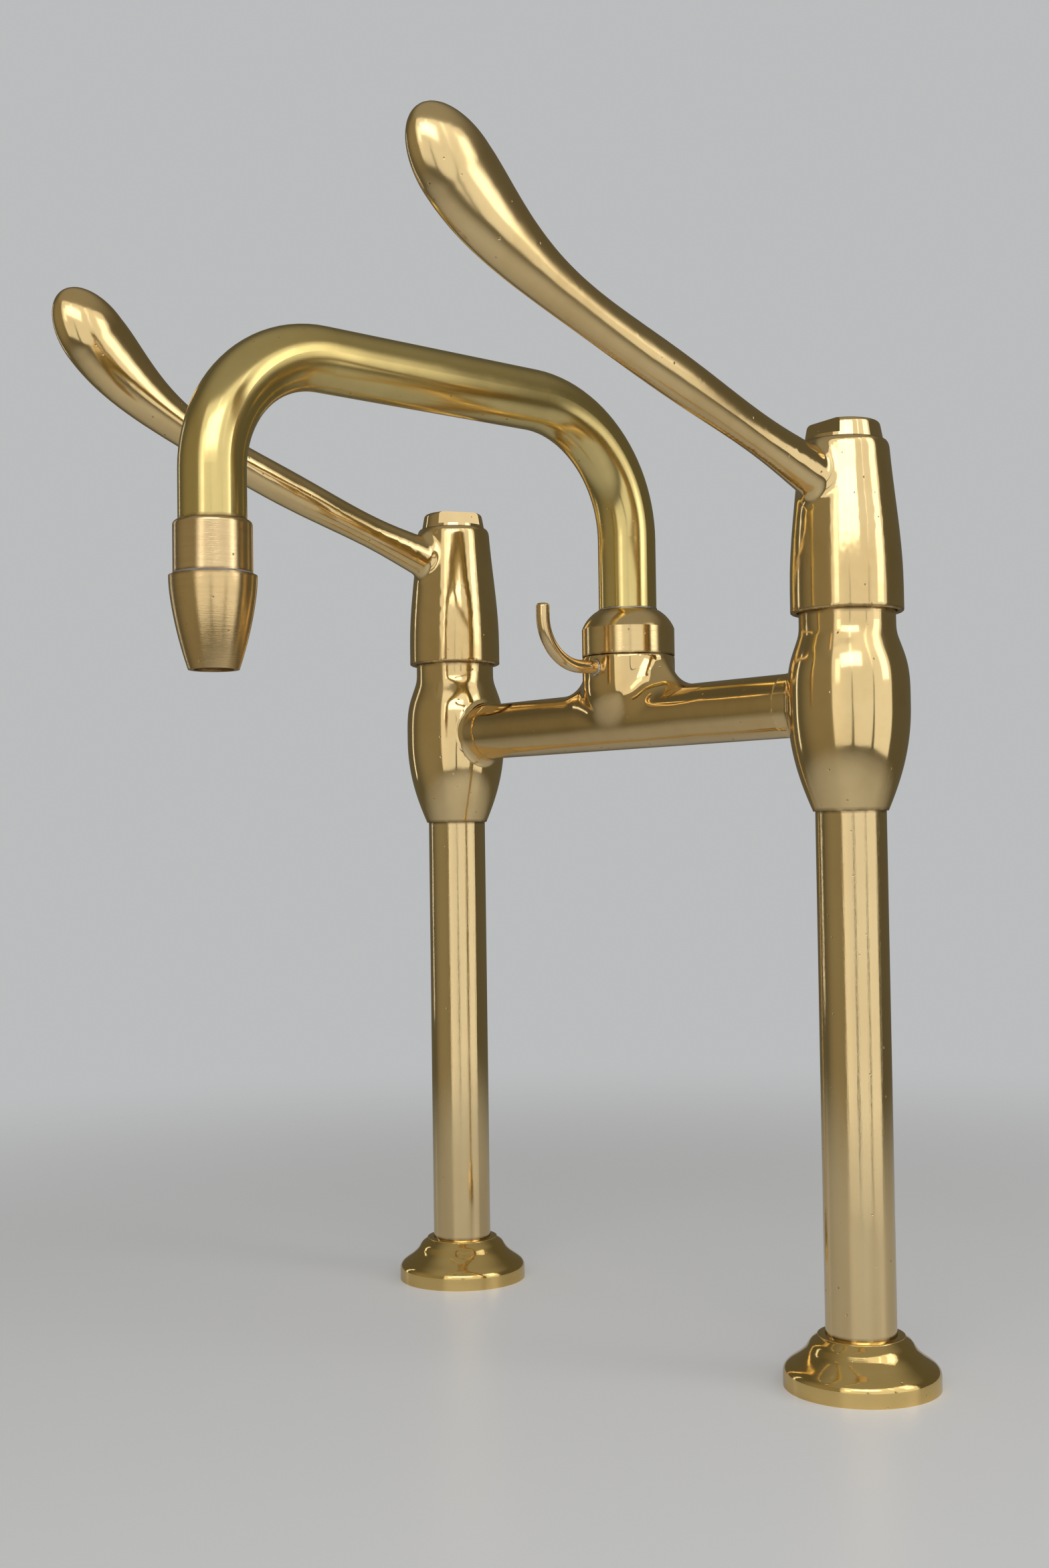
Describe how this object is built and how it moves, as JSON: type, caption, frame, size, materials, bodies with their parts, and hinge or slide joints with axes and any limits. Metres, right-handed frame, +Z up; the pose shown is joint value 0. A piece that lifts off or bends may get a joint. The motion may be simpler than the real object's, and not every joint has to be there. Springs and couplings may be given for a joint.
{
  "type": "bridge kitchen mixer tap",
  "caption": "Deck-mounted brass bridge mixer tap with tall pillars, long cast levers over turned skirts, a swivel swan spout with a tapered nozzle and a small hanging hook.",
  "frame": {"origin": "midway between the two pillars, on the deck surface that the flanges rest on", "axes": "+Z up, -Y towards the user where the spout and closed levers point, +X to the cold side"},
  "size_m": [0.2688, 0.2244, 0.4729],
  "materials": {
    "cast_brass": "cast gunmetal, filed and hand polished, a little wavy and pitted",
    "bright_brass": "turned and brightly polished yellow brass",
    "pillar_brass": "drawn tube, polished, with faint lengthways lines",
    "bridge_brass": "polished tube with a cast tee",
    "spout_brass": "satin drawn tube with a fine brushed grain",
    "plain_brass": "machined, unpolished",
    "grey_washer": "grey fibre-filled rubber seen as a thin line",
    "steel": "plain stainless steel",
    "black_rubber": "matt black rubber",
    "fibre": "red vulcanised fibre",
    "white_plastic": "plain acetal"
  },
  "bodies": {
    "stand": {"hot_deck_flange": "bright_brass", "hot_deck_seal": "black_rubber", "hot_pillar": "pillar_brass", "hot_tail": "plain_brass", "hot_deck_washer": "steel", "hot_backnut": "plain_brass", "hot_valve_body": "cast_brass", "hot_valve_seat": "plain_brass", "hot_headgear_washer": "fibre", "hot_headgear": "plain_brass", "hot_gland_packing": "fibre", "hot_gland_nut": "plain_brass", "cold_deck_flange": "bright_brass", "cold_deck_seal": "black_rubber", "cold_pillar": "pillar_brass", "cold_tail": "plain_brass", "cold_deck_washer": "steel", "cold_backnut": "plain_brass", "cold_valve_body": "cast_brass", "cold_valve_seat": "plain_brass", "cold_headgear_washer": "fibre", "cold_headgear": "plain_brass", "cold_gland_packing": "fibre", "cold_gland_nut": "plain_brass", "bridge": "bridge_brass", "spout_thrust_ring": "white_plastic", "spout_gland_nut": "cast_brass", "hook": "spout_brass"},
    "hot_handle": {"hot_lever": "cast_brass", "hot_lever_screw": "steel", "hot_lever_cap": "bright_brass", "hot_spindle": "plain_brass", "hot_spindle_clip": "steel"},
    "hot_jumper_set": {"hot_jumper": "plain_brass", "hot_jumper_washer": "black_rubber", "hot_jumper_nut": "plain_brass"},
    "cold_handle": {"cold_lever": "cast_brass", "cold_lever_screw": "steel", "cold_lever_cap": "bright_brass", "cold_spindle": "plain_brass", "cold_spindle_clip": "steel"},
    "cold_jumper_set": {"cold_jumper": "plain_brass", "cold_jumper_washer": "black_rubber", "cold_jumper_nut": "plain_brass"},
    "spout": {"spout_tube": "spout_brass", "spout_ferrule": "plain_brass", "spout_o_rings": "black_rubber", "nozzle_collar": "bright_brass", "nozzle_washer": "grey_washer", "nozzle": "cast_brass"}
  },
  "joints": [
    {"name": "hot_lever_turn", "type": "hinge", "parent": "stand", "child": "hot_handle", "pos_m": [-0.108, 0, 0.29], "axis": [0, 0, 1], "range_deg": [-90, 0]},
    {"name": "hot_jumper_lift", "type": "slide", "parent": "stand", "child": "hot_jumper_set", "axis": [0, 0, 1], "range_m": [0, 0.004]},
    {"name": "cold_lever_turn", "type": "hinge", "parent": "stand", "child": "cold_handle", "pos_m": [0.108, 0, 0.29], "axis": [0, 0, 1], "range_deg": [0, 90]},
    {"name": "cold_jumper_lift", "type": "slide", "parent": "stand", "child": "cold_jumper_set", "axis": [0, 0, 1], "range_m": [0, 0.004]},
    {"name": "spout_swivel", "type": "hinge", "parent": "stand", "child": "spout", "pos_m": [0, 0, 0.25], "axis": [0, 0, 1], "range_deg": [-30, 30]}
  ],
  "couplings": [
    {"joint": "hot_jumper_lift", "follows": "hot_lever_turn", "m_per_rad": -0.002546},
    {"joint": "cold_jumper_lift", "follows": "cold_lever_turn", "m_per_rad": 0.002546}
  ]
}
